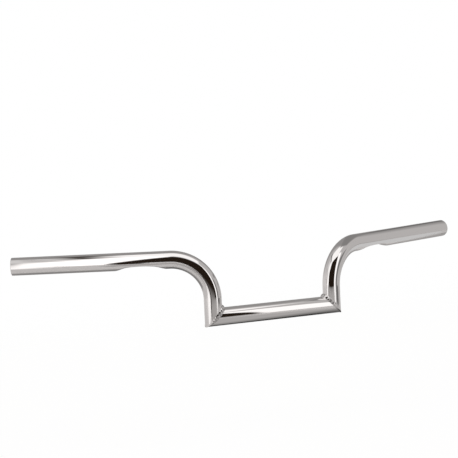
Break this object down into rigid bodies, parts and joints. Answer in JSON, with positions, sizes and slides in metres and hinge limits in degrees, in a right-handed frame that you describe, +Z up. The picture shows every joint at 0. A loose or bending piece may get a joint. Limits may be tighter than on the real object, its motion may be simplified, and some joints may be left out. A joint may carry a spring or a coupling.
{
  "type": "mustache handlebar",
  "caption": "Chromed motorcycle handlebar: short risers mitred and welded to a centre tube, bent into swept-back grips with wiring dimples.",
  "frame": {"origin": "middle of the centre tube, on its axis", "axes": "+X along the centre tube towards the clutch side (the rider's left, the picture's right), +Y back towards the rider, +Z up along the risers"},
  "size_m": [0.7106, 0.1392, 0.111],
  "materials": {
    "chrome_plate": "bright chrome plate on polished steel tube",
    "plated_weld": "bright chrome plate over a rippled weld bead"
  },
  "bodies": {
    "root": {"centre_tube": "chrome_plate", "throttle_side_tube": "chrome_plate", "clutch_side_tube": "chrome_plate", "throttle_side_weld": "plated_weld", "clutch_side_weld": "plated_weld"}
  },
  "joints": []
}
